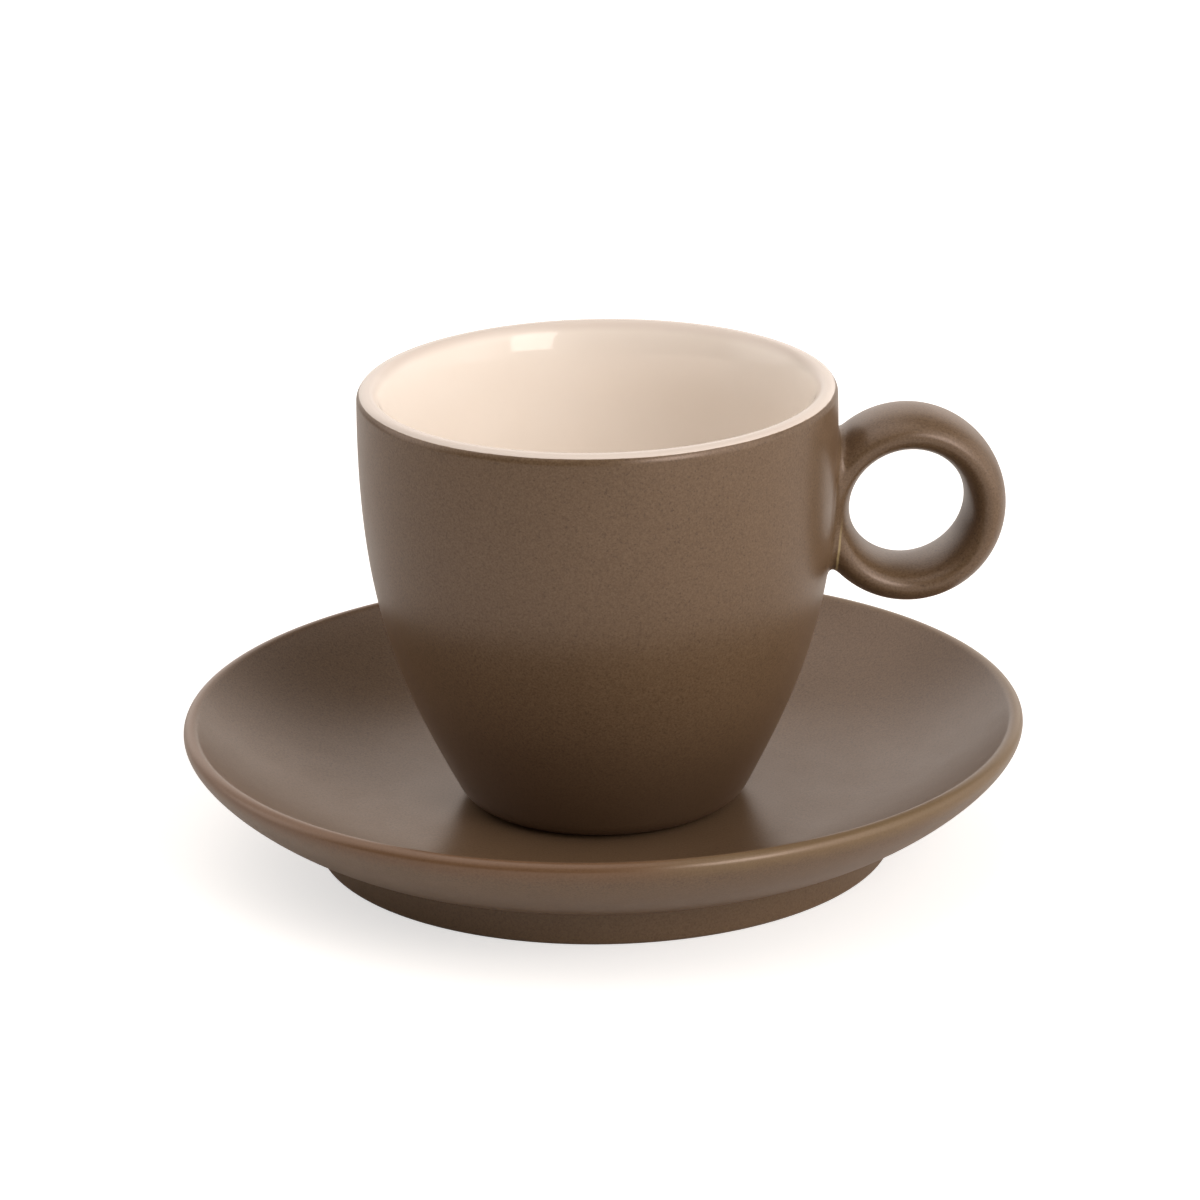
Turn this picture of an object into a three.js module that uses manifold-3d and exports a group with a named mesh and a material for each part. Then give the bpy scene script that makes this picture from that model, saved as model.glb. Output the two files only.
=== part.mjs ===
// Coffee cup with a saucer: a tapered stoneware cup with a ring handle and a pale glazed inside,
// standing on a deep dish-shaped saucer with a stepped foot ring.
// Millimetres, +Z up. The origin is the centre of the saucer's foot, on the table.
// The ring handle points along +X.

import * as THREE from 'three';
import { mergeVertices } from 'three/addons/utils/BufferGeometryUtils.js';
import Module from 'manifold-3d';

const wasm = await Module();
wasm.setup();

// Saucer
const SAUCER_DIAMETER = 140;
const SAUCER_HEIGHT = 22.5;
const SAUCER_LIP = 2.8;               // thickness of the rounded lip
const SAUCER_FLOOR = 4.4;             // thickness of the flat middle
const SAUCER_RECESS = 3.6;            // depth of the hollow under the flat middle
const SAUCER_FLAT_DIAMETER = 60;      // flat middle that the cup stands on
const SAUCER_FOOT_DIAMETER = 96.6;
const SAUCER_FOOT_HEIGHT = 6.2;       // step between the table and the dish's wall
const SAUCER_FOOT_WIDTH = 4;
const SAUCER_FOOT_EDGE = 0.8;         // rounding of the foot ring's edges

// Cup
const CUP_RIM_DIAMETER = 78.9;
const CUP_HEIGHT = 71.3;
const CUP_WALL = 3.4;                 // clay and lining together
const CUP_RIM_EDGE = 1.5;             // rounding of both edges of the rim
const CUP_FLOOR = 5;                  // clay and lining together, over the foot's hollow
const CUP_FOOT_DIAMETER = 38.9;       // outer edge of the flat that touches the saucer
const CUP_FOOT_WIDTH = 2.6;
const CUP_FOOT_RECESS = 2;            // depth of the hollow inside the foot ring
const CUP_BASE_ROUNDING = 5.6;        // corner between the foot and the side
const CUP_INSIDE_CORNER = 8;          // rise of the inside corner between floor and side

// Lining glaze
const LINING_COAT = 0.6;
const LINING_GAP = 0.1;               // between the coat and the clay under it
const LINING_SKIRT = 0.3;             // how far it reaches down the outside, below the rounded edge

// Ring handle
const FINGER_HOLE_DIAMETER = 19.5;
const RING_THICKNESS = 6.6;           // across the band, from the hole outwards
const RING_WIDTH = 16;                // along the hole
const RING_DROP = 22.3;               // the ring's centre below the rim
const RING_WEB = 2.4;                 // least clay between the finger hole and the cup's wall
const HANDLE_GAP = 0.3;               // slip joint between the ring and the cup's wall

// Curve shapes, as angles and as shares of the length that a curve covers
const SIDE_LEAN_LOW = THREE.MathUtils.degToRad(62.7);   // the cup's side over its base corner
const SIDE_LEAN_HIGH = THREE.MathUtils.degToRad(91.2);  // and at the rim, a little inwards
const SIDE_PULL_LOW = 0.34;
const SIDE_PULL_HIGH = 0.49;
const DISH_LEAN_LOW = THREE.MathUtils.degToRad(6);      // the saucer's outer wall over its foot ring
const DISH_PULL_LOW = 0.41;
const DISH_PULL_HIGH = 0.25;
const DISH_INSIDE_LEAN = THREE.MathUtils.degToRad(45);  // the saucer's inside, as it leaves the lip
const DISH_INSIDE_PULL_HIGH = 0.45;
const DISH_INSIDE_PULL_LOW = 0.54;
const BAND_EXPONENT = 2.1;            // superellipse of the ring's section: 2 is an ellipse

// Fineness of the facets
const TURN_STEPS = 48;
const RING_STEPS = 40;
const CURVE_STEPS = 6;
const EDGE_STEPS = 3;
const BAND_STEPS = 16;

// Colours
const TAUPE = 0x6b5743;
const CREAM = 0xe8d8c8;

const QUARTER = Math.PI / 2;
const seatHeight = SAUCER_RECESS + SAUCER_FLOOR;
const rimRadius = CUP_RIM_DIAMETER / 2;
const rimEdge = Math.min(CUP_RIM_EDGE, 0.45 * CUP_WALL);
const liningEdge = CUP_HEIGHT - rimEdge - LINING_SKIRT;

function point(r, z) {
  return new THREE.Vector2(r, z);
}

// Points of an arc about (r, z), without its first one
function arc(r, z, radius, from, to) {
  const points = [];
  for (let i = 1; i <= EDGE_STEPS; i += 1) {
    const angle = from + ((to - from) * i) / EDGE_STEPS;
    points.push(point(r + radius * Math.cos(angle), z + radius * Math.sin(angle)));
  }
  return points;
}

// A closed profile of (radius, height) points, turned about the Z axis
function turned(profile) {
  const geometry = new THREE.LatheGeometry(profile, TURN_STEPS);
  geometry.rotateX(QUARTER);
  return geometry;
}

function glazed(color, roughness) {
  return new THREE.MeshStandardMaterial({ color, roughness, metalness: 0 });
}

function piece(name, geometry, material) {
  const mesh = new THREE.Mesh(geometry, material);
  mesh.name = name;
  return mesh;
}

// Solid for joins and cuts, from the positions of a closed geometry
function toSolid(geometry) {
  const bare = geometry.clone();
  bare.deleteAttribute('normal');
  bare.deleteAttribute('uv');
  const welded = mergeVertices(bare, 1e-4);
  const triangles = [];
  const index = welded.index.array;
  for (let i = 0; i < index.length; i += 3) {
    const [a, b, c] = [index[i], index[i + 1], index[i + 2]];
    if (a !== b && b !== c && c !== a) triangles.push(a, b, c);
  }
  return new wasm.Manifold(new wasm.Mesh({
    numProp: 3,
    vertProperties: new Float32Array(welded.attributes.position.array),
    triVerts: new Uint32Array(triangles),
  }));
}

function toGeometry(solid) {
  const mesh = solid.getMesh();
  const geometry = new THREE.BufferGeometry();
  geometry.setAttribute('position', new THREE.BufferAttribute(new Float32Array(mesh.vertProperties), 3));
  geometry.setIndex(new THREE.BufferAttribute(new Uint32Array(mesh.triVerts), 1));
  geometry.computeVertexNormals();
  return geometry;
}

// Saucer: a foot ring, a bowed outer wall, a round lip and a dished inside with a flat middle
function saucerProfile() {
  const outer = SAUCER_DIAMETER / 2;
  const lip = SAUCER_LIP / 2;
  const footOuter = SAUCER_FOOT_DIAMETER / 2;
  const footInner = footOuter - SAUCER_FOOT_WIDTH;
  const edge = SAUCER_FOOT_EDGE;
  const lipCentre = SAUCER_HEIGHT - lip;
  const run = outer - footOuter;
  const rise = lipCentre - SAUCER_FOOT_HEIGHT;
  const pull = DISH_PULL_LOW * run;
  const wall = new THREE.CubicBezierCurve(
    point(footOuter, SAUCER_FOOT_HEIGHT),
    point(footOuter + pull, SAUCER_FOOT_HEIGHT + pull * Math.tan(DISH_LEAN_LOW)),
    point(outer, lipCentre - DISH_PULL_HIGH * rise),
    point(outer, lipCentre),
  );
  const lipEnd = QUARTER + DISH_INSIDE_LEAN;
  const lipInner = point(outer - lip + lip * Math.cos(lipEnd), lipCentre + lip * Math.sin(lipEnd));
  const flat = SAUCER_FLAT_DIAMETER / 2;
  const insideRun = lipInner.x - flat;
  const insideDrop = DISH_INSIDE_PULL_HIGH * (lipInner.y - seatHeight);
  const inside = new THREE.CubicBezierCurve(
    lipInner,
    point(lipInner.x - insideDrop / Math.tan(DISH_INSIDE_LEAN), lipInner.y - insideDrop),
    point(flat + DISH_INSIDE_PULL_LOW * insideRun, seatHeight),
    point(flat, seatHeight),
  );
  return [
    point(0, SAUCER_RECESS),
    point(footInner - edge, SAUCER_RECESS),
    ...arc(footInner - edge, SAUCER_RECESS - edge, edge, QUARTER, 0),
    point(footInner, edge),
    ...arc(footInner + edge, edge, edge, Math.PI, Math.PI + QUARTER),
    point(footOuter - edge, 0),
    ...arc(footOuter - edge, edge, edge, -QUARTER, 0),
    ...wall.getPoints(CURVE_STEPS),
    ...arc(outer - lip, lipCentre, lip, 0, QUARTER),
    ...arc(outer - lip, lipCentre, lip, QUARTER, lipEnd),
    ...inside.getPoints(CURVE_STEPS).slice(1),
    point(0, seatHeight),
  ];
}

// The cup's outside, from its base corner to the lining's edge, in heights above its own foot
const baseCentre = point(CUP_FOOT_DIAMETER / 2, CUP_BASE_ROUNDING);
const baseAngle = SIDE_LEAN_LOW - QUARTER;
const sideLow = point(
  baseCentre.x + CUP_BASE_ROUNDING * Math.cos(baseAngle),
  baseCentre.y + CUP_BASE_ROUNDING * Math.sin(baseAngle),
);
const sideHigh = point(rimRadius, liningEdge);
const sideRise = sideHigh.y - sideLow.y;
const side = new THREE.CubicBezierCurve(
  sideLow,
  point(
    sideLow.x + SIDE_PULL_LOW * sideRise * Math.cos(SIDE_LEAN_LOW),
    sideLow.y + SIDE_PULL_LOW * sideRise * Math.sin(SIDE_LEAN_LOW),
  ),
  point(
    sideHigh.x - SIDE_PULL_HIGH * sideRise * Math.cos(SIDE_LEAN_HIGH),
    sideHigh.y - SIDE_PULL_HIGH * sideRise * Math.sin(SIDE_LEAN_HIGH),
  ),
  sideHigh,
);

// Where a height falls on the side curve, as a share of the curve
function sideShareAt(height) {
  let low = 0;
  let high = 1;
  while (high - low > 1e-6) {
    const middle = (low + high) / 2;
    if (side.getPoint(middle).y < height) low = middle;
    else high = middle;
  }
  return low;
}

// A surface inside the cup, from the axis up to the lining's edge, parallel to the side at a depth:
// flat floor, one rounded corner, then the side moved in along its normals
function cavityProfile(depth, floor) {
  const start = sideShareAt(floor + CUP_INSIDE_CORNER);
  const points = [];
  for (let i = 0; i <= CURVE_STEPS; i += 1) {
    const share = start + ((1 - start) * i) / CURVE_STEPS;
    const tangent = side.getTangent(share);
    const place = side.getPoint(share);
    points.push(point(place.x - depth * tangent.y, place.y + depth * tangent.x));
  }
  const tangent = side.getTangent(start);
  const first = points[0];
  const rise = first.y - floor;
  const corner = point(first.x - (rise * tangent.x) / tangent.y, floor);
  const reach = first.distanceTo(corner);
  const bend = new THREE.QuadraticBezierCurve(point(corner.x - reach, floor), corner, first);
  return [point(0, floor), ...bend.getPoints(CURVE_STEPS), ...points.slice(1)];
}

// Clay of the cup: foot ring, base corner, side, flat top under the lining, and the hollow
function bodyProfile() {
  const footOuter = CUP_FOOT_DIAMETER / 2;
  const footInner = footOuter - CUP_FOOT_WIDTH;
  const under = LINING_COAT + LINING_GAP;
  const top = liningEdge - LINING_GAP;
  const cavity = cavityProfile(CUP_WALL - under, CUP_FOOT_RECESS + CUP_FLOOR - under);
  cavity[cavity.length - 1].y = top;
  const outside = side.getPoints(CURVE_STEPS + EDGE_STEPS);
  outside[outside.length - 1].y = top;
  return [
    point(0, CUP_FOOT_RECESS),
    point(footInner - CUP_FOOT_RECESS, CUP_FOOT_RECESS),
    point(footInner, 0),
    point(footOuter, 0),
    ...arc(baseCentre.x, baseCentre.y, CUP_BASE_ROUNDING, -QUARTER, baseAngle),
    ...outside.slice(1),
    ...cavity.reverse(),
  ];
}

// Lining: a thin pale coat over the inside and the rim, with its edge just below the rim's outside
function liningProfile() {
  const floor = CUP_FOOT_RECESS + CUP_FLOOR;
  const hidden = cavityProfile(CUP_WALL - LINING_COAT, floor - LINING_COAT);
  const shown = cavityProfile(CUP_WALL, floor);
  hidden[hidden.length - 1].y = liningEdge;
  const arcHeight = CUP_HEIGHT - rimEdge;
  const inner = rimRadius - CUP_WALL + rimEdge;
  return [
    ...hidden,
    point(rimRadius, liningEdge),
    point(rimRadius, arcHeight),
    ...arc(rimRadius - rimEdge, arcHeight, rimEdge, 0, QUARTER),
    point(inner, CUP_HEIGHT),
    ...arc(inner, arcHeight, rimEdge, QUARTER, Math.PI),
    ...shown.reverse(),
  ];
}

// Ring handle: a rounded band bent to a ring, cut back to the cup's wall
function handleGeometry() {
  const hole = FINGER_HOLE_DIAMETER / 2;
  const middle = hole + RING_THICKNESS / 2;
  const height = CUP_HEIGHT - RING_DROP;
  const wallRadius = side.getPoint(sideShareAt(height)).x;
  const rounded = (value) => Math.sign(value) * Math.abs(value) ** (2 / BAND_EXPONENT);
  const band = [];
  for (let i = 0; i <= BAND_STEPS; i += 1) {
    const angle = ((i % BAND_STEPS) * 2 * Math.PI) / BAND_STEPS;
    band.push(point(
      middle + (RING_THICKNESS / 2) * rounded(Math.cos(angle)),
      (RING_WIDTH / 2) * rounded(Math.sin(angle)),
    ));
  }
  const ring = new THREE.LatheGeometry(band, RING_STEPS);
  ring.translate(wallRadius + RING_WEB + hole, 0, height);
  const outside = side.getPoints(CURVE_STEPS + EDGE_STEPS);
  const cutter = turned([
    point(0, sideLow.y),
    ...outside.map((place) => point(place.x + HANDLE_GAP, place.y)),
    point(0, sideHigh.y),
  ]);
  return toGeometry(toSolid(ring).subtract(toSolid(cutter)));
}

const satin = 0.55;
const glossy = 0.12;

const cup = new THREE.Group();
cup.position.z = seatHeight;
cup.add(piece('cup_body', turned(bodyProfile()), glazed(TAUPE, satin)));
cup.add(piece('cup_lining', turned(liningProfile()), glazed(CREAM, glossy)));
cup.add(piece('cup_handle', handleGeometry(), glazed(TAUPE, satin)));

const cupAndSaucer = new THREE.Group();
cupAndSaucer.add(piece('saucer', turned(saucerProfile()), glazed(TAUPE, satin)));
cupAndSaucer.add(cup);

export default cupAndSaucer;
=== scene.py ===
"""Coffee cup with a saucer: satin taupe stoneware, a glossy cream inside and a ring handle."""

import math

import bpy
import numpy as np
from mathutils import Matrix, Vector


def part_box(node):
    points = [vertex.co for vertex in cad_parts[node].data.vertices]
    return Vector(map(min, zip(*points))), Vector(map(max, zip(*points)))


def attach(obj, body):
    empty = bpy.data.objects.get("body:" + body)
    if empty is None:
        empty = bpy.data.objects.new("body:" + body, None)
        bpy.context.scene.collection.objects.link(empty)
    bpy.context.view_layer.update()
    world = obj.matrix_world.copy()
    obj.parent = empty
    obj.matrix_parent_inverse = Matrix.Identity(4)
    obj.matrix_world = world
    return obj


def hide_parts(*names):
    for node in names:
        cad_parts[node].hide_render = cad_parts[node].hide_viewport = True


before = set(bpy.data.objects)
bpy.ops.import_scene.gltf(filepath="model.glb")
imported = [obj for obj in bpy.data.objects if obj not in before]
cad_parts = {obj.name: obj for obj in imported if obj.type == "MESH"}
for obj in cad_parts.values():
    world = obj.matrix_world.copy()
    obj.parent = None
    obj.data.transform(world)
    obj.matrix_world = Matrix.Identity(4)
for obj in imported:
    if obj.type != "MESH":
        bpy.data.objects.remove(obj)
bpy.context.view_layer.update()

MM = 0.001

# Places taken from the frame, in millimetres
saucer_low, saucer_high = (np.array(corner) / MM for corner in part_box("saucer"))
body_low, _ = (np.array(corner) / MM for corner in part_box("cup_body"))
_, lining_high = (np.array(corner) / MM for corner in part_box("cup_lining"))
handle_low, handle_high = (np.array(corner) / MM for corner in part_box("cup_handle"))

SAUCER_RADIUS = saucer_high[0]
SAUCER_TOP = saucer_high[2]
CUP_FOOT = body_low[2]
CUP_RADIUS = lining_high[0]
CUP_TOP = lining_high[2]
RING_WIDTH = handle_high[1] - handle_low[1]
RING_OUTER = (handle_high[2] - handle_low[2]) / 2
RING_HEIGHT = (handle_high[2] + handle_low[2]) / 2
RING_CENTRE = handle_high[0] - RING_OUTER

# Saucer, in millimetres
LIP = 2.8                # thickness of the lip
SAUCER_RECESS = 3.6      # hollow under the flat middle
SAUCER_FLAT = 30.0       # radius of the flat middle
FOOT_RADIUS = 48.3
FOOT_HEIGHT = 6.2
FOOT_WIDTH = 4.0
FOOT_EDGE = 0.8          # rounded edges of the foot ring
STEP_FILLET = 1.0        # between the foot ring and the wall
STEP_DIP = 0.1           # how far the fillet's curve dips below the wall
DISH_LEAN = math.radians(6)          # outer wall over the foot ring
DISH_PULLS = (0.41, 0.25)            # shares of its run and rise
DISH_INSIDE_LEAN = math.radians(45)  # inside, as it leaves the lip
DISH_INSIDE_PULLS = (0.54, 0.45)

# Cup, in millimetres
CUP_FOOT_FLAT = 19.45    # outer radius of the flat that touches the saucer
CUP_FOOT_WIDTH = 2.6
CUP_RECESS = 2.0
RECESS_RUN = 1.6         # width of the slope from the hollow to the foot
RECESS_PULL = 0.8        # its curve's pull at the hollow
FOOT_PULL = (0.7, 0.3)   # its curve's pull at the foot, inwards and up
BASE_ROUNDING = 5.6
SIDE_LOW = math.radians(62.7)
SIDE_HIGH = math.radians(91.2)
SIDE_PULLS = (0.34, 0.49)
RIM_ROUNDING = 1.7       # outer edge of the rim
RIM_FLAT = 0.3
RIM_FLARE = 3.2          # how far the inside leans out to the rim
FLARE_DEPTH = 11.0
FLARE_PULLS = (0.6, 0.5)
CUP_FLOOR = 7.0          # inside floor above the foot
FLOOR_CORNER = 9.0
CORNER_PULL = 0.6
GLAZE_EDGE = math.radians(40)   # where the cream ends on the rim's outer edge
GLAZE_OVERLAP = 8        # degrees that the body runs on under the cream
GLAZE_WANDER = math.radians(3.5)
GLAZE_WAVES = ((3, 0.4), (7, 1.9), (13, 4.1), (29, 2.6))   # waves round the rim, and their phase
GLAZE_STEP = 0.05        # thickness of the cream's edge
GLAZE_RISE = 4           # how steeply the edge swells
GLAZE_FALL = 0.25        # power by which it thins out again
GLAZE_TUCK = 0.03        # how far its first row sinks into the body
LINING_COAT = 0.5
CLAY_GAP = 0.1

# Handle, in millimetres
BAND_EXPONENT = 2.1      # superellipse of the ring's section
RING_BAND = 6.6          # thickness of the band
FILLET = 2.4             # reach of the smooth joint with the wall
FILLET_END = 1.02        # share of that reach where the joint is cut
JOINT_SINK = 0.012       # how far the joint's edge runs under the wall
JOINT_DEPTH = 1.2        # how far the handle reaches into the wall
NET_START = 4.0          # from the cup's radius in to the start of the net
NET_PITCH = 0.4
NET_MOVE = 0.5           # share of the pitch that a vertex moves at most
VALLEY = "valley"        # attribute: zero along the middle of the smooth joint

# Fineness
TURN_STEPS = 288
TURN_ANGLES = np.arange(TURN_STEPS) * 2 * math.pi / TURN_STEPS
CURVE_STEPS = 48
EDGE_STEPS = 10
SAUCER_FAN = 4.0         # radius of the fan of faces round the axis
SAUCER_FLAT_STEPS = 6
CUP_FAN = 3.0
CUP_FLOOR_STEPS = 4
CUP_RECESS_STEPS = 3
SAME_POINT = 1e-4
TINY = 1e-6


# Curves, as arrays of (radius, height)

def arc(centre, radius, start, stop, steps=EDGE_STEPS):
    angles = np.radians(np.linspace(start, stop, steps + 1))
    return np.array(centre) + radius * np.stack([np.cos(angles), np.sin(angles)], 1)


def bezier(points, steps=CURVE_STEPS):
    a, b, c, d = (np.array(p, float) for p in points)
    t = np.linspace(0, 1, steps + 1)[:, None]
    return (1 - t) ** 3 * a + 3 * (1 - t) ** 2 * t * b + 3 * (1 - t) * t * t * c + t ** 3 * d


def line(start, stop, steps):
    return np.linspace(start, stop, steps + 1)


def joined(*runs):
    """One profile from several, without the points that repeat."""
    points = np.concatenate([np.atleast_2d(np.array(run, float)) for run in runs])
    step = np.linalg.norm(np.diff(points, axis=0), axis=1)
    return points[np.concatenate([[True], step > SAME_POINT])]


def offset(profile, distance):
    """The profile moved sideways, to the right of its direction."""
    tangent = np.gradient(profile, axis=0)
    tangent /= np.linalg.norm(tangent, axis=1)[:, None]
    return profile + distance * np.stack([tangent[:, 1], -tangent[:, 0]], 1)


# Meshes

def new_piece(name, vertices, faces):
    """A smooth piece from vertices in millimetres."""
    mesh = bpy.data.meshes.new(name)
    mesh.from_pydata((np.asarray(vertices) * MM).tolist(), [], faces)
    mesh.validate()
    mesh.polygons.foreach_set("use_smooth", [True] * len(mesh.polygons))
    piece = bpy.data.objects.new(name, mesh)
    bpy.context.scene.collection.objects.link(piece)
    return piece


def all_round(profile):
    """The points of a profile, each repeated at every turn step."""
    return [np.repeat(point[None, :], TURN_STEPS, 0) for point in profile]


def turned(name, profile):
    """A closed profile turned about Z. It starts and ends on the axis, and may differ at each turn step."""
    profile = np.asarray(profile, float)
    if profile.ndim == 2:
        profile = np.array(all_round(profile))
    rows = profile[1:-1]
    radius = rows[..., 0]
    height = rows[..., 1]
    ring = np.stack([radius * np.cos(TURN_ANGLES), radius * np.sin(TURN_ANGLES), height], -1)
    ring = ring.reshape(-1, 3)
    ends = np.array([[0, 0, profile[0, 0, 1]], [0, 0, profile[-1, 0, 1]]])
    first = len(ring)
    last = first + 1
    count = len(rows)
    top = (count - 1) * TURN_STEPS
    faces = []
    for j in range(TURN_STEPS):
        k = (j + 1) % TURN_STEPS
        faces.append((first, k, j))
        faces.append((last, top + j, top + k))
        for i in range(count - 1):
            a = i * TURN_STEPS
            faces.append((a + j, a + k, a + TURN_STEPS + k, a + TURN_STEPS + j))
    return new_piece(name, np.concatenate([ring, ends]), faces)


def surface_net(field, low, high, pitch):
    """Closed mesh of the places where field is zero, inside a box of (low, high) corners."""
    axes = [np.arange(a, b + pitch, pitch) for a, b in zip(low, high)]
    grid = np.stack(np.meshgrid(*axes, indexing="ij"), -1)
    value = field(grid)
    inside = value < 0
    shape = tuple(n - 1 for n in value.shape)
    corners = [(i, j, k) for i in (0, 1) for j in (0, 1) for k in (0, 1)]

    def at(array, corner):
        return array[tuple(slice(c, c + s) for c, s in zip(corner, shape))]

    total = np.zeros(shape + (3,))
    hits = np.zeros(shape)
    for corner in corners:
        for axis in range(3):
            if corner[axis]:
                continue
            other = tuple(1 if a == axis else c for a, c in enumerate(corner))
            near = at(value, corner)
            far = at(value, other)
            cross = (near < 0) != (far < 0)
            share = np.where(cross, near / np.where(cross, near - far, 1), 0)[..., None]
            place = at(grid, corner) * (1 - share) + at(grid, other) * share
            total += np.where(cross[..., None], place, 0)
            hits += cross
    used = hits > 0
    number = np.full(shape, -1)
    number[used] = np.arange(used.sum())
    vertices = total[used] / hits[used][:, None]
    faces = []
    for axis in range(3):
        u = (axis + 1) % 3
        v = (axis + 2) % 3
        here = [slice(1, -1)] * 3
        here[axis] = slice(0, -1)
        there = list(here)
        there[axis] = slice(1, None)
        flip = inside[tuple(here)] != inside[tuple(there)]
        cells = np.argwhere(flip)
        cells[:, [u, v]] += 1
        rising = inside[tuple(here)][flip]
        quad = []
        for du, dv in ((1, 1), (0, 1), (0, 0), (1, 0)):
            cell = cells.copy()
            cell[:, u] -= du
            cell[:, v] -= dv
            quad.append(number[tuple(cell.T)])
        quad = np.stack(quad, 1)
        quad[~rising] = quad[~rising][:, ::-1]
        faces.extend(quad.tolist())
    return vertices, faces


def settled(field, vertices, rounds=4, step=1e-3):
    """Vertices moved on to the surface where field is zero."""
    for _ in range(rounds):
        value = field(vertices)
        slope = np.stack([
            (field(vertices + step * unit) - field(vertices - step * unit)) / (2 * step)
            for unit in np.eye(3)
        ], -1)
        length = np.maximum((slope ** 2).sum(-1), TINY)
        move = -(value / length)[:, None] * slope
        limit = np.maximum(np.linalg.norm(move, axis=1) / (NET_MOVE * NET_PITCH), 1)[:, None]
        vertices = vertices + move / limit
    return vertices


# Saucer

def saucer_profile():
    lip = LIP / 2
    lip_height = SAUCER_TOP - lip
    seat = CUP_FOOT
    inner_foot = FOOT_RADIUS - FOOT_WIDTH
    run = SAUCER_RADIUS - FOOT_RADIUS
    rise = lip_height - FOOT_HEIGHT
    pull = DISH_PULLS[0] * run
    wall = bezier([
        (FOOT_RADIUS, FOOT_HEIGHT),
        (FOOT_RADIUS + pull, FOOT_HEIGHT + pull * math.tan(DISH_LEAN)),
        (SAUCER_RADIUS, lip_height - DISH_PULLS[1] * rise),
        (SAUCER_RADIUS, lip_height),
    ])
    wall = wall[wall[:, 0] > FOOT_RADIUS + STEP_FILLET]
    fillet = bezier([
        (FOOT_RADIUS, FOOT_HEIGHT - STEP_FILLET),
        (FOOT_RADIUS, FOOT_HEIGHT - STEP_FILLET / 3),
        (FOOT_RADIUS + STEP_FILLET / 3, wall[0, 1] - STEP_DIP),
        wall[0],
    ], EDGE_STEPS)
    crest_end = 90 + math.degrees(DISH_INSIDE_LEAN)
    crest = arc((SAUCER_RADIUS - lip, lip_height), lip, 0, crest_end, 2 * EDGE_STEPS)
    drop = DISH_INSIDE_PULLS[1] * (crest[-1, 1] - seat)
    inside = bezier([
        crest[-1],
        crest[-1] - drop * np.array([1 / math.tan(DISH_INSIDE_LEAN), 1]),
        (SAUCER_FLAT + DISH_INSIDE_PULLS[0] * (crest[-1, 0] - SAUCER_FLAT), seat),
        (SAUCER_FLAT, seat),
    ])
    return joined(
        (0, SAUCER_RECESS),
        line((SAUCER_FAN, SAUCER_RECESS), (inner_foot - FOOT_EDGE, SAUCER_RECESS), SAUCER_FLAT_STEPS),
        arc((inner_foot - FOOT_EDGE, SAUCER_RECESS - FOOT_EDGE), FOOT_EDGE, 90, 0),
        arc((inner_foot + FOOT_EDGE, FOOT_EDGE), FOOT_EDGE, 180, 270),
        arc((FOOT_RADIUS - FOOT_EDGE, FOOT_EDGE), FOOT_EDGE, -90, 0),
        fillet,
        wall,
        crest,
        inside,
        line((SAUCER_FLAT, seat), (SAUCER_FAN, seat), SAUCER_FLAT_STEPS),
        (0, seat),
    )


# Cup

def side_curve():
    """The cup's outside, from its base corner to the start of the rim's rounding."""
    angle = SIDE_LOW - math.pi / 2
    low = np.array([CUP_FOOT_FLAT + BASE_ROUNDING * math.cos(angle),
                    CUP_FOOT + BASE_ROUNDING + BASE_ROUNDING * math.sin(angle)])
    high = np.array([CUP_RADIUS, CUP_TOP - RIM_ROUNDING])
    rise = high[1] - low[1]
    return bezier([
        low,
        low + SIDE_PULLS[0] * rise * np.array([math.cos(SIDE_LOW), math.sin(SIDE_LOW)]),
        high - SIDE_PULLS[1] * rise * np.array([math.cos(SIDE_HIGH), math.sin(SIDE_HIGH)]),
        high,
    ], 2 * CURVE_STEPS)


SIDE = side_curve()


def inside_curve():
    """The cup's inside, from the axis over the floor and up the wall to the rim's flat top."""
    rim_inner = CUP_RADIUS - RIM_ROUNDING - RIM_FLAT
    wall_inner = rim_inner - RIM_FLARE
    flare_foot = CUP_TOP - FLARE_DEPTH
    depth = np.interp(flare_foot, SIDE[:, 1], SIDE[:, 0]) - wall_inner
    floor = CUP_FOOT + CUP_FLOOR
    wall = offset(SIDE, -depth)
    wall = wall[(wall[:, 1] > floor + FLOOR_CORNER) & (wall[:, 1] < flare_foot)]
    lean = wall[-1] - wall[-2]
    lean /= lean[1]
    flare = bezier([
        wall[-1],
        wall[-1] + FLARE_PULLS[0] * FLARE_DEPTH * lean,
        (rim_inner - FLARE_PULLS[1] * RIM_FLARE, CUP_TOP),
        (rim_inner, CUP_TOP),
    ])
    down = wall[0] - wall[1]
    corner = wall[0] + down * (wall[0, 1] - floor) / -down[1]
    reach = np.linalg.norm(wall[0] - corner)
    start = np.array([corner[0] - reach, floor])
    bend = bezier([
        start,
        start + (corner - start) * CORNER_PULL,
        wall[0] + (corner - wall[0]) * CORNER_PULL,
        wall[0],
    ])
    return joined((0, floor), line((CUP_FAN, floor), start, CUP_FLOOR_STEPS), bend, wall, flare)


INSIDE = inside_curve()
RIM_CENTRE = (CUP_RADIUS - RIM_ROUNDING, CUP_TOP - RIM_ROUNDING)


def hidden_curve(depth):
    """The inside moved into the wall by a depth, up to a little below the rim."""
    curve = offset(INSIDE, depth)
    curve = curve[curve[:, 1] < CUP_TOP - 2 * RIM_ROUNDING]
    curve[0, 0] = 0
    return curve


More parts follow.
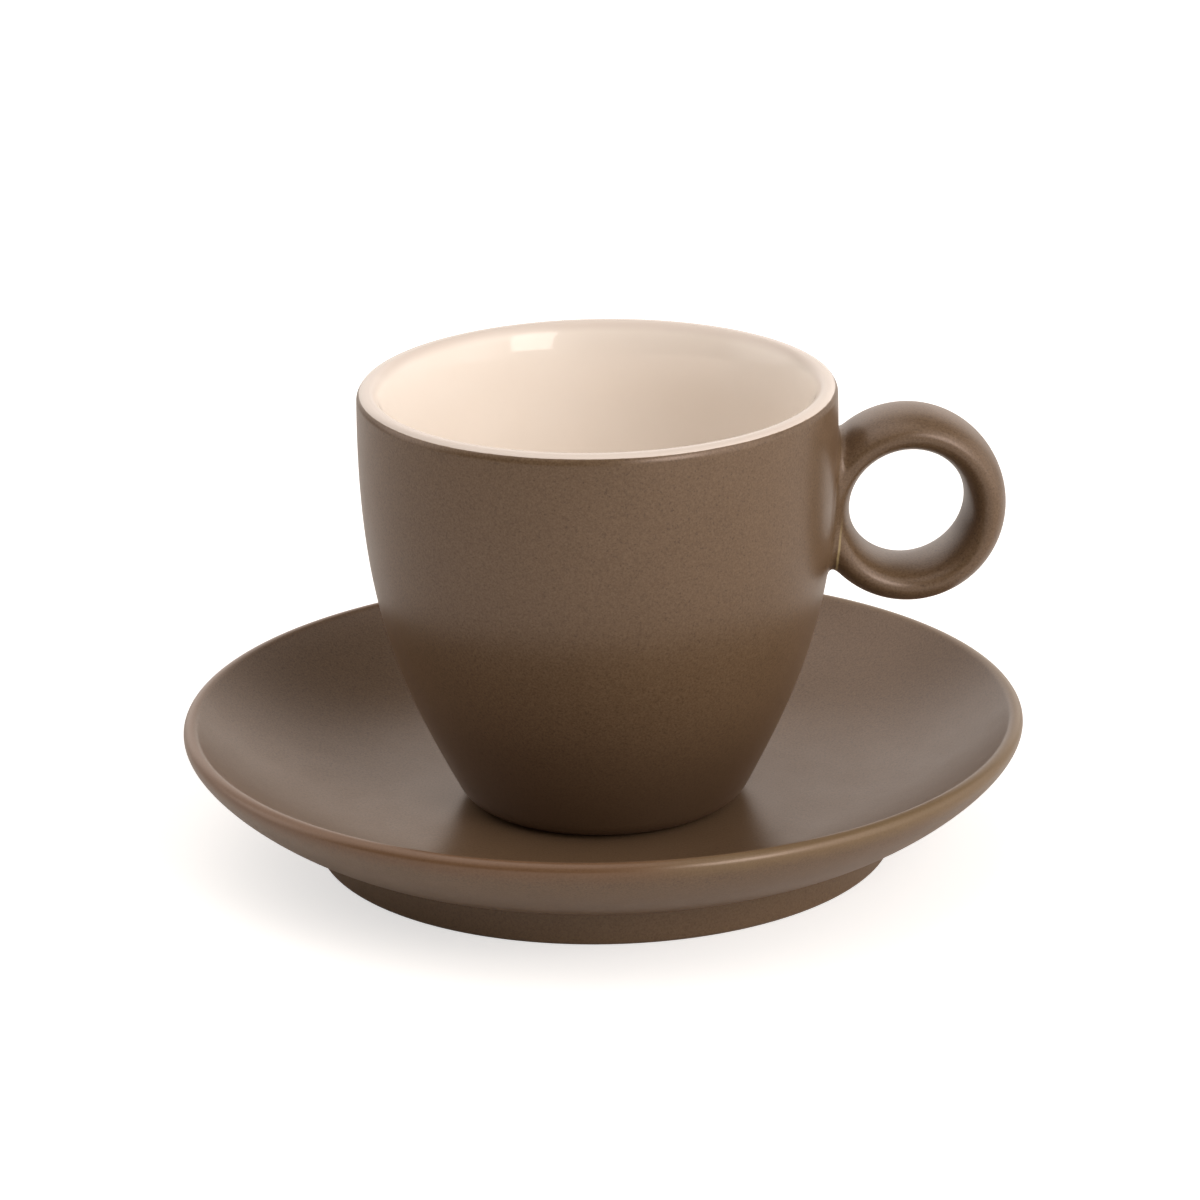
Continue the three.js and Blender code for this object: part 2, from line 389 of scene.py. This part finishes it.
def body_profile():
    foot_inner = CUP_FOOT_FLAT - CUP_FOOT_WIDTH
    recess = CUP_FOOT + CUP_RECESS
    return joined(
        (0, recess),
        line((CUP_FAN, recess), (foot_inner - RECESS_RUN, recess), CUP_RECESS_STEPS),
        bezier([
            (foot_inner - RECESS_RUN, recess),
            (foot_inner - RECESS_PULL, recess),
            (foot_inner - FOOT_PULL[0], CUP_FOOT + FOOT_PULL[1]),
            (foot_inner, CUP_FOOT),
        ], EDGE_STEPS),
        (CUP_FOOT_FLAT, CUP_FOOT),
        arc((CUP_FOOT_FLAT, CUP_FOOT + BASE_ROUNDING), BASE_ROUNDING, -90, math.degrees(SIDE_LOW) - 90),
        SIDE,
        arc(RIM_CENTRE, RIM_ROUNDING, 0, math.degrees(GLAZE_EDGE) + GLAZE_OVERLAP),
        hidden_curve(LINING_COAT + CLAY_GAP)[::-1],
    )


def lining_profile():
    """The cream coat. Its edge wanders a little round the rim, so the profile differs at each turn step."""
    wander = sum(np.sin(n * TURN_ANGLES + phase) / n ** 0.5 for n, phase in GLAZE_WAVES)
    edge = GLAZE_EDGE + GLAZE_WANDER * wander / 2
    steps = 2 * EDGE_STEPS
    skirt = []
    for i in range(steps + 1):
        share = i / steps
        angle = edge + (math.pi / 2 - edge) * share
        swell = GLAZE_STEP * min(GLAZE_RISE * share, 1 - share ** GLAZE_FALL)
        tuck = GLAZE_TUCK if i == 0 else 0
        radius = RIM_ROUNDING + swell - tuck
        across = RIM_CENTRE[0] + radius * np.cos(angle)
        height = RIM_CENTRE[1] + radius * np.sin(angle)
        skirt.append(np.stack([across, height], -1))
    return np.array(all_round(hidden_curve(LINING_COAT)) + skirt + all_round(INSIDE[::-1]))


# Handle

def wall_distance(p):
    """About how far the points p are from the cup's outside, below zero in the wall."""
    radius = np.hypot(p[..., 0], p[..., 1])
    slope = np.gradient(SIDE[:, 0], SIDE[:, 1])
    lean = np.interp(p[..., 2], SIDE[:, 1], slope)
    return (radius - np.interp(p[..., 2], SIDE[:, 1], SIDE[:, 0])) / np.sqrt(1 + lean ** 2)


def band_distance(p):
    """About how far the points p are from the ring's band, below zero inside it."""
    a = RING_BAND / 2
    b = RING_WIDTH / 2
    n = BAND_EXPONENT
    across = np.hypot(p[..., 0] - RING_CENTRE, p[..., 2] - RING_HEIGHT) - (RING_OUTER - a)
    u = np.abs(across) / a + TINY
    v = np.abs(p[..., 1]) / b + TINY
    size = (u ** n + v ** n) ** (1 / n)
    slope = size ** (1 - n) * np.hypot(u ** (n - 1) / a, v ** (n - 1) / b)
    return (size - 1) / slope


def handle_field(p):
    """The band run smoothly into the wall, and cut off a little way under the wall's skin."""
    band = band_distance(p)
    wall = wall_distance(p)
    blend = np.maximum(FILLET - np.abs(band - wall - JOINT_SINK), 0) / FILLET
    smooth = np.minimum(band, wall + JOINT_SINK) - blend ** 2 * FILLET / 4
    return np.maximum(np.maximum(smooth, band - FILLET_END * FILLET), -wall - JOINT_DEPTH)


def handle_piece():
    margin = FILLET + 2 * NET_PITCH
    low = (CUP_RADIUS - NET_START, handle_low[1] - margin, handle_low[2] - margin)
    high = handle_high + margin
    vertices, faces = surface_net(handle_field, low, high, NET_PITCH)
    vertices = settled(handle_field, vertices)
    piece = new_piece("cup_handle_ring", vertices, faces)
    valley = piece.data.attributes.new(VALLEY, "FLOAT", "POINT")
    valley.data.foreach_set("value", band_distance(vertices) - wall_distance(vertices))
    return piece


# Material nodes

def add_node(tree, kind, inputs=(), **settings):
    """A new node with its settings, and with each input linked or set."""
    node = tree.nodes.new(kind)
    for key, value in settings.items():
        setattr(node, key, value)
    for key, value in dict(inputs).items():
        if isinstance(value, bpy.types.NodeSocket):
            tree.links.new(value, node.inputs[key])
        else:
            node.inputs[key].default_value = value
    return node


class Nodes:
    """Short hand for building a material's nodes. Sizes are in millimetres."""

    def __init__(self, name):
        self.material = bpy.data.materials.new(name)
        self.material.use_nodes = True
        self.tree = self.material.node_tree
        self.tree.nodes.clear()
        self.output = self.tree.nodes.new("ShaderNodeOutputMaterial")
        self.place = self.tree.nodes.new("ShaderNodeTexCoord").outputs["Object"]

    def add(self, kind, inputs=(), **settings):
        return add_node(self.tree, kind, inputs, **settings)

    def shown(self, shader):
        """The finished material, with this shader as its surface."""
        self.tree.links.new(shader.outputs[0], self.output.inputs["Surface"])
        return self.material

    def noise(self, size, detail, roughness=0.5):
        node = self.add("ShaderNodeTexNoise", {
            "Vector": self.place, "Scale": 1 / (size * MM), "Detail": detail, "Roughness": roughness})
        return node.outputs["Fac"]

    def math(self, operation, a, b=0.0):
        return self.add("ShaderNodeMath", {0: a, 1: b}, operation=operation).outputs[0]

    def wander(self, size, detail, reach):
        """Noise about zero, times a reach."""
        return self.math("MULTIPLY", self.math("SUBTRACT", self.noise(size, detail), NOISE_MEAN), reach)

    def ramp(self, value, limits, to_low=0.0, to_high=1.0):
        """A smooth step from one number to another, between two limits of the value."""
        node = self.add("ShaderNodeMapRange", {
            "Value": value, "From Min": limits[0], "From Max": limits[1],
            "To Min": to_low, "To Max": to_high}, interpolation_type="SMOOTHSTEP")
        return node.outputs["Result"]

    def mix(self, share, a, b):
        node = self.add("ShaderNodeMix", {0: share, 6: a, 7: b}, data_type="RGBA")
        return node.outputs[2]

    def laid(self, mask, share, under, over):
        """A colour laid over another where the mask is 1, by a share."""
        return self.mix(self.math("MULTIPLY", mask, share), under, over)

    def along(self, axis):
        return self.add("ShaderNodeSeparateXYZ", {0: self.place}).outputs[axis]

    def radius(self):
        flat = self.add("ShaderNodeVectorMath", {0: self.place, 1: (1, 1, 0)}, operation="MULTIPLY")
        length = self.add("ShaderNodeVectorMath", {0: flat.outputs[0]}, operation="LENGTH")
        return length.outputs["Value"]

    def specks(self, spacing, size, share):
        """1 inside small round specks, about one to a cell, kept in only a share of the cells."""
        cell = self.add("ShaderNodeTexVoronoi", {"Vector": self.place, "Scale": 1 / (spacing * MM)})
        chance = self.add("ShaderNodeSeparateColor", {0: cell.outputs["Color"]}).outputs[0]
        kept = self.math("LESS_THAN", chance, share)
        reach = size / spacing
        spot = self.ramp(cell.outputs["Distance"], (reach * SPECK_CORE, reach), 1.0, 0.0)
        return self.math("MULTIPLY", spot, kept)


def between(low, high):
    """Two heights or radii in millimetres, as limits for a ramp."""
    return low * MM, high * MM


# Colours

TAUPE = (0.111, 0.0680, 0.0365, 1)
TAUPE_LIGHT = (0.119, 0.0733, 0.0400, 1)
TAUPE_DARK = (0.103, 0.0627, 0.0330, 1)
# painted shade on the cup's lower part
TAUPE_PAINTED_SHADE = (0.062, 0.037, 0.019, 1)
# painted light: lightens the saucer's foot ring and draws a highlight line along its step
TAUPE_PAINTED_LIGHT = (0.20, 0.135, 0.085, 1)
GLOSS_TINT = (1.0, 0.85, 0.8, 1)
SHEEN_TINT = (1.0, 0.55, 0.42, 1)
# dark specks and pits, and the painted contact shadow at the cup's foot
SPECK_AND_SHADOW_DARK = (0.03, 0.018, 0.01, 1)
SPECK_LIGHT = (0.30, 0.21, 0.13, 1)
# painted highlight along the handle's joint
JOINT_HIGHLIGHT = (0.62, 0.50, 0.26, 1)
BREAK = (0.160, 0.084, 0.043, 1)
# olive break, made lighter: glaze break and partly painted light on the rim's lit right side
BREAK_OLIVE_LIT = (0.180, 0.124, 0.060, 1)
CLAY = (0.56, 0.49, 0.40, 1)
CLAY_DARK = (0.47, 0.40, 0.32, 1)
CREAM = (0.935, 0.872, 0.81, 1)
CREAM_WARM = (0.93, 0.862, 0.795, 1)
CREAM_SPECK = (0.5, 0.38, 0.26, 1)
CREAM_RIM = (0.745, 0.66, 0.605, 1)
CREAM_EDGE = (0.36, 0.25, 0.15, 1)

# Limits of a noise between which a pattern comes in
NOISE_MEAN = 0.5
NOISE_MIDDLE = (0.3, 0.7)
NOISE_WIDE = (0.25, 0.75)
NOISE_NARROW = (0.35, 0.65)
NOISE_UPPER = (0.5, 0.75)
NOISE_LOWER = (0.3, 0.5)

# Taupe glaze: sizes in millimetres, and shares of a colour that is laid over
CLOUD = 14
CLOUD_CALM = 0.55        # share of the plain colour over the clouds
GRAIN = 0.32
GRAIN_SHARE = 0.30
PITS = 0.4
PITS_SHARE = 0.55
SPECK_CORE = 0.5         # full part of a speck's radius
DARK_SPECKS = (8, 0.3, 0.03)     # spacing, size, share of the cells
DARK_SPECKS_SHARE = 0.85
LIGHT_SPECKS = (11, 0.2, 0.08)
LIGHT_SPECKS_SHARE = 0.5
SATIN = (0.29, 0.32)     # roughness, from patch to patch
SATIN_LEAST = 0.28
SATIN_PATCH = 5
TAUPE_IOR = 1.62
SHEEN = 0.05
SHEEN_ROUGHNESS = 0.5
TAUPE_BUMP = (0.35, 0.02)        # strength and depth
WAVE = 1.4               # wider waves in the bump
WAVE_SHARE = 0.5
BARE = (0.1, 0.3)        # heights over the foot where the bare clay ends
BARE_WANDER = (2, 0.25)  # size and reach
BARE_ROUGH = 0.45
CLAY_GRAIN = 0.6

# Painted shade: darker towards the cup's foot, with a painted contact shadow line at it
PAINTED_SHADE = 26                # height over the foot where it ends
PAINTED_SHADE_SHARE = 0.78
SHADOW_LINE = (0.3, 1.6)   # heights over the foot where the dark line ends
SHADOW_LINE_SHARE = 0.75

# Worn rim, and painted light on the saucer's foot ring with a painted highlight along its step
WORN_DEPTHS = (4.0, 0.9)         # below the saucer's top, where the wear starts and is full
WORN_INSET = 2.2                 # from the saucer's radius in to the wear's inner edge
WORN_EDGE = (-0.5, 1.3)          # about that edge
WORN_WANDER = (3.5, 1.2)
WORN_SHARE = 0.65
WORN_GLOSS = 0.05                # roughness that the wear takes away
OLIVE = (-15, 45)                # places along X where brown turns to olive
OLIVE_WANDER = (25, 60)
STEP_INSET = (1, 0.5)            # from the foot ring's radius in
STEP_FADE = 1                    # below the step
# painted bounce light on the foot ring below the step
STEP_PAINTED_LIGHT_SHARE = 0.30
# painted highlight line along the step
STEP_LINE_DROP = 0.1             # thin line, below the step
STEP_LINE = (0.08, 0.34)         # half widths where it is full and where it ends
STEP_HIGHLIGHT_SHARE = 0.5

# Painted highlight: a pale line along the handle's smooth joint
SEAM_SHIFT = 1.1                 # from the middle of the smooth joint
SEAM = (0.12, 0.34)              # half widths where it is full and where it ends
SEAM_WANDER = (4, 0.5)
SEAM_TOP = (-9, 1)               # heights from the ring's middle where it fades
SEAM_PATCH = 5
SEAM_HIGHLIGHT_SHARE = 0.8

# Cream glaze: sizes in millimetres, depths below the rim's top
CREAM_CLOUD = 18
CREAM_SPECKS = (11, 0.16, 0.08)
CREAM_SPECKS_SHARE = 0.4
RIM_DEPTHS = (1.8, 0.3)          # where the rim's darker cream starts and is full
RIM_SHARE = 0.85
THIN_WANDER = (1.2, 0.16)
THIN_HEIGHT = 0.14               # of the brown edge
THIN_RADII = (0.6, 0.8)          # outside the centre of the rim's rounding
THIN_SHARE = 0.8
WEAR_DEPTHS = (1.9, 0.7)
WEAR_ROUGH = 0.13
GLOSS = (0.05, 0.08)             # roughness, from patch to patch
GLOSS_PATCH = 9
CREAM_IOR = 1.5
CREAM_BUMP = (0.25, 0.05)
CREAM_WAVE = 7
CREAM_RIPPLE = 0.7
CREAM_RIPPLE_SHARE = 0.03


# Materials

def saucer_trim(n, colour, rough):
    """The saucer's rim broken to brown and olive, the olive partly painted light, and painted light on its
    foot ring with a painted highlight along the step.
    """
    height = n.along("Z")
    low = SAUCER_TOP - WORN_DEPTHS[0]
    high = SAUCER_TOP - WORN_DEPTHS[1]
    inner = SAUCER_RADIUS - WORN_INSET
    size, reach = WORN_WANDER
    near_top = n.ramp(n.math("ADD", height, n.wander(size, 3, reach * MM)), between(low, high))
    near_rim = n.ramp(n.radius(), between(inner + WORN_EDGE[0], inner + WORN_EDGE[1]))
    worn = n.math("MULTIPLY", near_top, near_rim)
    # Glaze broken to brown on the rim, turning to a lighter olive on the right side, where it is partly
    # painted light
    size, reach = OLIVE_WANDER
    turning = n.math("ADD", n.along("X"), n.wander(size, 2, reach * MM))
    brown = n.mix(n.ramp(turning, between(*OLIVE)), BREAK, BREAK_OLIVE_LIT)
    colour = n.laid(worn, WORN_SHARE, colour, brown)
    rough = n.math("SUBTRACT", rough, n.math("MULTIPLY", worn, WORN_GLOSS))
    rough = n.math("MAXIMUM", rough, SATIN_LEAST)

    # Painted light: the foot ring below the step is lightened
    outside = n.ramp(n.radius(), between(FOOT_RADIUS - STEP_INSET[0], FOOT_RADIUS - STEP_INSET[1]))
    foot = n.ramp(height, between(FOOT_HEIGHT - STEP_FADE, FOOT_HEIGHT), STEP_PAINTED_LIGHT_SHARE, 0.0)
    colour = n.mix(n.math("MULTIPLY", foot, outside), colour, TAUPE_PAINTED_LIGHT)
    # Painted highlight: a thin light line along the step
    away = n.math("ABSOLUTE", n.math("SUBTRACT", height, (FOOT_HEIGHT - STEP_LINE_DROP) * MM))
    step_highlight = n.ramp(away, between(*STEP_LINE), STEP_HIGHLIGHT_SHARE, 0.0)
    colour = n.mix(n.math("MULTIPLY", step_highlight, outside), colour, TAUPE_PAINTED_LIGHT)
    return colour, rough


def cup_trim(n, colour, rough):
    """Painted shade, darker towards the cup's foot, with a painted contact shadow line at it."""
    height = n.along("Z")
    # Painted shade: the colour darkens towards the foot
    painted_shade = n.ramp(height, between(CUP_FOOT, CUP_FOOT + PAINTED_SHADE), PAINTED_SHADE_SHARE, 0.0)
    colour = n.mix(painted_shade, colour, TAUPE_PAINTED_SHADE)
    # Painted contact shadow: a dark line where the cup stands on the saucer
    line_ends = between(CUP_FOOT + SHADOW_LINE[0], CUP_FOOT + SHADOW_LINE[1])
    shadow_line = n.ramp(height, line_ends, SHADOW_LINE_SHARE, 0.0)
    return n.mix(shadow_line, colour, SPECK_AND_SHADOW_DARK), rough


def handle_highlight_trim(n, colour, rough):
    """A patchy painted highlight: a pale line along the lower half of the handle's joint."""
    valley = n.add("ShaderNodeAttribute", attribute_name=VALLEY).outputs["Fac"]
    size, reach = SEAM_WANDER
    middle = n.math("ADD", n.math("ADD", valley, SEAM_SHIFT), n.wander(size, 2, reach))
    # Painted highlight along the middle of the smooth joint
    seam_highlight = n.ramp(n.math("ABSOLUTE", middle), SEAM, 1.0, 0.0)
    fade = between(RING_HEIGHT + SEAM_TOP[0], RING_HEIGHT + SEAM_TOP[1])
    low_half = n.ramp(n.along("Z"), fade, 1.0, 0.0)
    patchy = n.ramp(n.noise(SEAM_PATCH, 3), NOISE_LOWER)
    seam_highlight = n.math("MULTIPLY", n.math("MULTIPLY", seam_highlight, low_half), patchy)
    return n.laid(seam_highlight, SEAM_HIGHLIGHT_SHARE, colour, JOINT_HIGHLIGHT), rough


def taupe_glaze(name, foot, trim):
    """Satin taupe glaze, bare clay at the height of the foot. The trim adds what one piece alone has."""
    n = Nodes(name)
    cloud = n.noise(CLOUD, 3)
    grain = n.noise(GRAIN, 2, 0.6)
    pits = n.noise(PITS, 2, 0.7)
    colour = n.mix(n.ramp(cloud, NOISE_MIDDLE), TAUPE_DARK, TAUPE_LIGHT)
    colour = n.mix(CLOUD_CALM, colour, TAUPE)
    colour = n.laid(n.ramp(grain, NOISE_WIDE), GRAIN_SHARE, colour, SPECK_LIGHT)
    colour = n.laid(n.ramp(pits, NOISE_UPPER), PITS_SHARE, colour, SPECK_AND_SHADOW_DARK)
    colour = n.laid(n.specks(*DARK_SPECKS), DARK_SPECKS_SHARE, colour, SPECK_AND_SHADOW_DARK)
    colour = n.laid(n.specks(*LIGHT_SPECKS), LIGHT_SPECKS_SHARE, colour, SPECK_LIGHT)
    rough = n.ramp(n.noise(SATIN_PATCH, 3), NOISE_MIDDLE, *SATIN)
    colour, rough = trim(n, colour, rough)

    size, reach = BARE_WANDER
    height = n.math("ADD", n.along("Z"), n.math("MULTIPLY", n.noise(size, 2), reach * MM))
    bare = n.ramp(height, between(foot + BARE[0], foot + BARE[1]), 1.0, 0.0)
    clay = n.mix(n.noise(CLAY_GRAIN, 3), CLAY, CLAY_DARK)
    colour = n.mix(bare, colour, clay)
    rough = n.math("ADD", rough, n.math("MULTIPLY", bare, BARE_ROUGH))
    strength, depth = TAUPE_BUMP
    waves = n.math("MULTIPLY", n.noise(WAVE, 2), WAVE_SHARE)
    bump = n.add("ShaderNodeBump", {
        "Strength": strength, "Distance": depth * MM, "Height": n.math("ADD", grain, waves)})
    return n.shown(n.add("ShaderNodeBsdfPrincipled", {
        "Base Color": colour, "Roughness": rough, "IOR": TAUPE_IOR, "Specular Tint": GLOSS_TINT,
        "Sheen Weight": SHEEN, "Sheen Roughness": SHEEN_ROUGHNESS, "Sheen Tint": SHEEN_TINT,
        "Normal": bump.outputs[0]}))


def cream_glaze(name):
    """Glossy cream glaze, darker and less glossy on the rim, thin and brown at its edge outside it."""
    n = Nodes(name)
    height = n.along("Z")
    colour = n.mix(n.ramp(n.noise(CREAM_CLOUD, 3), NOISE_NARROW), CREAM, CREAM_WARM)
    colour = n.laid(n.specks(*CREAM_SPECKS), CREAM_SPECKS_SHARE, colour, CREAM_SPECK)
    rim = n.ramp(height, between(CUP_TOP - RIM_DEPTHS[0], CUP_TOP - RIM_DEPTHS[1]))
    colour = n.laid(rim, RIM_SHARE, colour, CREAM_RIM)
    edge_height = RIM_CENTRE[1] + RIM_ROUNDING * math.sin(GLAZE_EDGE)
    size, reach = THIN_WANDER
    low = n.ramp(n.math("ADD", height, n.wander(size, 2, reach * MM)),
                 between(edge_height, edge_height + THIN_HEIGHT), 1.0, 0.0)
    outside = n.ramp(n.radius(), between(RIM_CENTRE[0] + THIN_RADII[0], RIM_CENTRE[0] + THIN_RADII[1]))
    colour = n.laid(n.math("MULTIPLY", low, outside), THIN_SHARE, colour, CREAM_EDGE)
    strength, depth = CREAM_BUMP
    ripple = n.math("MULTIPLY", n.noise(CREAM_RIPPLE, 1), CREAM_RIPPLE_SHARE)
    bump = n.add("ShaderNodeBump", {
        "Strength": strength, "Distance": depth * MM,
        "Height": n.math("ADD", n.noise(CREAM_WAVE, 1), ripple)})
    wear = n.ramp(height, between(CUP_TOP - WEAR_DEPTHS[0], CUP_TOP - WEAR_DEPTHS[1]), 0.0, WEAR_ROUGH)
    rough = n.math("ADD", n.ramp(n.noise(GLOSS_PATCH, 2), NOISE_MIDDLE, *GLOSS), wear)
    return n.shown(n.add("ShaderNodeBsdfPrincipled", {
        "Base Color": colour, "Roughness": rough, "IOR": CREAM_IOR, "Normal": bump.outputs[0]}))


# Pieces

def dress(piece, material, body, node):
    piece.data.materials.append(material)
    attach(piece, body)
    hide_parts(node)


saucer_glaze = taupe_glaze("taupe_glaze_saucer", 0.0, saucer_trim)
dress(turned("saucer_dish", saucer_profile()), saucer_glaze, "saucer", "saucer")
cup_glaze = taupe_glaze("taupe_glaze_cup", CUP_FOOT, cup_trim)
dress(turned("cup_shell", body_profile()), cup_glaze, "cup", "cup_body")
inside_glaze = cream_glaze("cream_glaze_inside")
dress(turned("cup_inside_glaze", lining_profile()), inside_glaze, "cup", "cup_lining")
handle_glaze = taupe_glaze("taupe_glaze_handle", CUP_FOOT, handle_highlight_trim)
dress(handle_piece(), handle_glaze, "cup", "cup_handle")


# Camera: the photograph's view, worked out from the saucer's and the rim's ellipses

PHOTO_WIDTH = 1200                # pixels
CAMERA_TARGET = Vector((0, 0, 40 * MM))
CAMERA_DISTANCE = 0.90
CAMERA_TURN = math.radians(-4.3)  # the handle points a little away from the viewer
CAMERA_ELEVATION = math.radians(19.3)
CAMERA_ROLL = math.radians(1.063)
PIXELS_PER_METRE = 6022.4         # at the target
TARGET_PIXEL = (601.1, 610.4)
SENSOR = 36                       # millimetres
CLIP_START = 0.01
CLIP_END = 50


def make_camera():
    across = Vector((math.cos(CAMERA_TURN), math.sin(CAMERA_TURN), 0))
    away = Vector((-math.sin(CAMERA_TURN), math.cos(CAMERA_TURN), 0))
    forward = away * math.cos(CAMERA_ELEVATION) - Vector((0, 0, math.sin(CAMERA_ELEVATION)))
    place = CAMERA_TARGET - CAMERA_DISTANCE * forward
    up = across.cross(forward)
    x_axis = across * math.cos(CAMERA_ROLL) - up * math.sin(CAMERA_ROLL)
    y_axis = across * math.sin(CAMERA_ROLL) + up * math.cos(CAMERA_ROLL)
    half = PHOTO_WIDTH / 2
    aim = (CAMERA_TARGET + x_axis * (half - TARGET_PIXEL[0]) / PIXELS_PER_METRE
           + y_axis * (TARGET_PIXEL[1] - half) / PIXELS_PER_METRE)
    back = (place - aim).normalized()
    x_axis = (x_axis - back * x_axis.dot(back)).normalized()
    data = bpy.data.cameras.new("camera")
    data.sensor_width = SENSOR
    data.lens = SENSOR * PIXELS_PER_METRE * CAMERA_DISTANCE / PHOTO_WIDTH
    data.clip_start = CLIP_START
    data.clip_end = CLIP_END
    camera = bpy.data.objects.new("camera", data)
    bpy.context.scene.collection.objects.link(camera)
    camera.matrix_world = Matrix.LocRotScale(
        place, Matrix((x_axis, back.cross(x_axis), back)).transposed(), None)
    bpy.context.scene.camera = camera


# Light: a room with soft glows and one soft box. Angles in degrees, counted from the viewer to the right

LIGHT_COLOUR = (1.0, 0.92, 0.85, 1)   # a little warm
WHITE = (1, 1, 1, 1)
ROOM = 0.02
GLOWS = (   # turn, elevation, spread, strength
    (-100, 16, 30, 1.40),
    (60, 45, 30, 1.41),
    (90, 8, 48, 1.14),
    (180, 8, 48, 1.00),
    (45, 8, 48, 1.02),
    (-90, 68, 48, 1.02),
    (140, 16, 30, 0.46),
    (-135, 38, 48, 0.60),
    (90, 68, 48, 0.28),
    (-140, 16, 30, 0.20),
    (180, 16, 30, 0.18),
)
KEY_TURN = 36
KEY_ELEVATION = 26
KEY_DISTANCE = 1.0
KEY_SIZE = (0.40, 0.50)
KEY_POWER = 3.0


def direction(turn, elevation):
    turn = math.radians(turn) + CAMERA_TURN
    elevation = math.radians(elevation)
    return Vector((math.sin(turn) * math.cos(elevation), -math.cos(turn) * math.cos(elevation),
                   math.sin(elevation)))


def make_soft_box():
    toward = direction(KEY_TURN, KEY_ELEVATION)
    data = bpy.data.lights.new("key", "AREA")
    data.shape = "RECTANGLE"
    data.size, data.size_y = KEY_SIZE
    data.energy = KEY_POWER
    data.color = LIGHT_COLOUR[:3]
    light = bpy.data.objects.new("key", data)
    bpy.context.scene.collection.objects.link(light)
    light.location = CAMERA_TARGET + toward * KEY_DISTANCE
    light.rotation_mode = "QUATERNION"
    light.rotation_quaternion = toward.to_track_quat("Z", "Y")


def make_world():
    """White for camera and transmission rays. Other rays see an even room with soft glows in it."""
    world = bpy.data.worlds.new("room")
    world.use_nodes = True
    tree = world.node_tree
    tree.nodes.clear()
    place = add_node(tree, "ShaderNodeTexCoord").outputs["Generated"]
    level = ROOM
    for turn, elevation, spread, strength in GLOWS:
        near = add_node(tree, "ShaderNodeVectorMath", {0: place, 1: direction(turn, elevation)},
                        operation="DOT_PRODUCT")
        glow = add_node(tree, "ShaderNodeMapRange", {
            "Value": near.outputs["Value"], "From Min": math.cos(math.radians(spread)), "From Max": 1.0,
            "To Min": 0.0, "To Max": strength}, interpolation_type="SMOOTHSTEP")
        added = add_node(tree, "ShaderNodeMath", {0: level, 1: glow.outputs["Result"]}, operation="ADD")
        level = added.outputs[0]
    path = add_node(tree, "ShaderNodeLightPath").outputs
    seen = add_node(tree, "ShaderNodeMath", {0: path["Is Camera Ray"], 1: path["Is Transmission Ray"]},
                    operation="MAXIMUM").outputs[0]
    strength = add_node(tree, "ShaderNodeMix", {0: seen, 2: level, 3: 1.0}).outputs[0]
    tint = add_node(tree, "ShaderNodeMix", {0: seen, 6: LIGHT_COLOUR, 7: WHITE},
                    data_type="RGBA").outputs[2]
    background = add_node(tree, "ShaderNodeBackground", {"Color": tint, "Strength": strength})
    add_node(tree, "ShaderNodeOutputWorld", {"Surface": background.outputs[0]})
    bpy.context.scene.world = world


# Floor

FLOOR_RADIUS = 0.9
FLOOR_STEPS = 96
FLOOR_COLOUR = (0.79, 0.79, 0.79, 1)
FLOOR_LIFT = 0.6                  # for the camera alone: the floor shows white and keeps the shadow
FLOOR_FADE = (0.35, 0.98)         # shares of the radius


def make_floor():
    """A pale round floor that fades into the white background."""
    radius = FLOOR_RADIUS / MM
    angles = [2 * math.pi * i / FLOOR_STEPS for i in range(FLOOR_STEPS)]
    ring = [(radius * math.cos(angle), radius * math.sin(angle), saucer_low[2]) for angle in angles]
    floor = new_piece("floor", ring, [list(range(FLOOR_STEPS))])
    n = Nodes("floor_paint")
    paint = n.add("ShaderNodeBsdfDiffuse", {"Color": FLOOR_COLOUR})
    seen = n.add("ShaderNodeLightPath").outputs["Is Camera Ray"]
    lift = n.add("ShaderNodeEmission", {"Strength": n.math("MULTIPLY", seen, FLOOR_LIFT)})
    lifted = n.add("ShaderNodeAddShader", {0: paint.outputs[0], 1: lift.outputs[0]})
    gone = n.add("ShaderNodeBsdfTransparent")
    fade = n.ramp(n.radius(), (FLOOR_FADE[0] * FLOOR_RADIUS, FLOOR_FADE[1] * FLOOR_RADIUS))
    mixed = n.add("ShaderNodeMixShader", {0: fade, 1: lifted.outputs[0], 2: gone.outputs[0]})
    floor.data.materials.append(n.shown(mixed))


make_camera()
make_world()
make_floor()
make_soft_box()

bpy.context.scene.view_settings.view_transform = "Standard"
